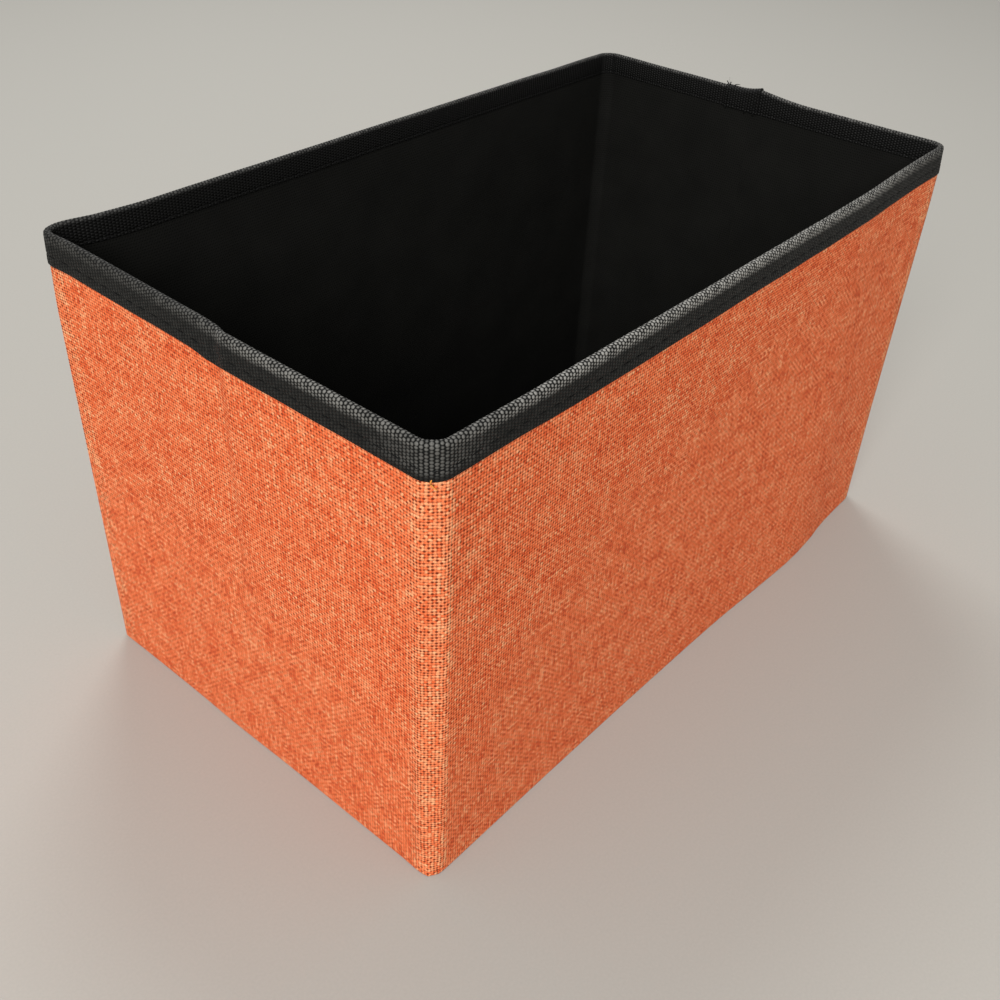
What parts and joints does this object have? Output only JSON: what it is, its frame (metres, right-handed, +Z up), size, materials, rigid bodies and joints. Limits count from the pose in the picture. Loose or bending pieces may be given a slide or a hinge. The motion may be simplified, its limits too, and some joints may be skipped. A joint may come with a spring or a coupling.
{
  "type": "woven storage bin",
  "caption": "Open-topped oblong storage bin of stiffened woven cloth with a taped rim, soft corner strips and creased ends, so that it folds flat.",
  "frame": {"origin": "middle of the footprint, on the surface that the bin stands on", "axes": "+X along the long walls, +Y across the bin towards the wall that the model holds still, +Z up out of the open top"},
  "size_m": [0.4326, 0.25, 0.2546],
  "materials": {
    "cover_cloth": "heathered plain weave, matt",
    "lining_cloth": "matt non-woven cloth",
    "rim_tape": "ribbed woven tape",
    "stiffener_board": "bare grey paperboard"
  },
  "bodies": {
    "back_wall": {"back_cover": "cover_cloth", "back_board": "stiffener_board", "back_lining": "lining_cloth", "back_binding": "rim_tape", "corner_cover_back_left": "cover_cloth", "corner_lining_back_left": "lining_cloth", "corner_binding_back_left": "rim_tape", "corner_cover_back_right": "cover_cloth", "corner_lining_back_right": "lining_cloth", "corner_binding_back_right": "rim_tape", "floor_cloth": "cover_cloth"},
    "left_back_half": {"left_back_cover": "cover_cloth", "left_back_board": "stiffener_board", "left_back_lining": "lining_cloth", "left_back_binding": "rim_tape"},
    "left_front_half": {"left_front_cover": "cover_cloth", "left_front_board": "stiffener_board", "left_front_lining": "lining_cloth", "left_front_binding": "rim_tape"},
    "front_wall": {"front_cover": "cover_cloth", "front_board": "stiffener_board", "front_lining": "lining_cloth", "front_binding": "rim_tape", "corner_cover_front_left": "cover_cloth", "corner_lining_front_left": "lining_cloth", "corner_binding_front_left": "rim_tape", "corner_cover_front_right": "cover_cloth", "corner_lining_front_right": "lining_cloth", "corner_binding_front_right": "rim_tape"},
    "right_back_half": {"right_back_cover": "cover_cloth", "right_back_board": "stiffener_board", "right_back_lining": "lining_cloth", "right_back_binding": "rim_tape", "binding_lap": "rim_tape"},
    "right_front_half": {"right_front_cover": "cover_cloth", "right_front_board": "stiffener_board", "right_front_lining": "lining_cloth", "right_front_binding": "rim_tape"},
    "base_board": {"base_card": "stiffener_board", "base_sleeve": "lining_cloth"}
  },
  "joints": [
    {"name": "left_back_corner_fold", "type": "hinge", "parent": "back_wall", "child": "left_back_half", "pos_m": [-0.216, 0.1144, 0], "axis": [0, 0, 1], "range_deg": [0, 85], "deforming": ["corner_cover_back_left", "corner_lining_back_left", "corner_binding_back_left", "floor_cloth"]},
    {"name": "left_crease_fold", "type": "hinge", "parent": "left_back_half", "child": "left_front_half", "pos_m": [-0.216, 0, 0], "axis": [0, 0, -1], "range_deg": [0, 170]},
    {"name": "left_front_corner_fold", "type": "hinge", "parent": "left_front_half", "child": "front_wall", "pos_m": [-0.216, -0.1144, 0], "axis": [0, 0, 1], "range_deg": [0, 85], "deforming": ["corner_cover_front_left", "corner_lining_front_left", "corner_binding_front_left"]},
    {"name": "right_back_corner_fold", "type": "hinge", "parent": "back_wall", "child": "right_back_half", "pos_m": [0.216, 0.1144, 0], "axis": [0, 0, -1], "range_deg": [0, 85], "deforming": ["corner_cover_back_right", "corner_lining_back_right", "corner_binding_back_right"]},
    {"name": "right_crease_fold", "type": "hinge", "parent": "right_back_half", "child": "right_front_half", "pos_m": [0.216, 0, 0], "axis": [0, 0, 1], "range_deg": [0, 170], "deforming": ["corner_cover_front_right", "corner_lining_front_right", "corner_binding_front_right"]},
    {"name": "base_board_lift", "type": "slide", "parent": "back_wall", "child": "base_board", "axis": [0, 0, 1], "range_m": [0, 0.262]}
  ],
  "couplings": [
    {"joint": "left_crease_fold", "follows": "left_back_corner_fold", "ratio": 2},
    {"joint": "left_front_corner_fold", "follows": "left_back_corner_fold", "ratio": 1},
    {"joint": "right_back_corner_fold", "follows": "left_back_corner_fold", "ratio": 1},
    {"joint": "right_crease_fold", "follows": "left_back_corner_fold", "ratio": 2}
  ]
}
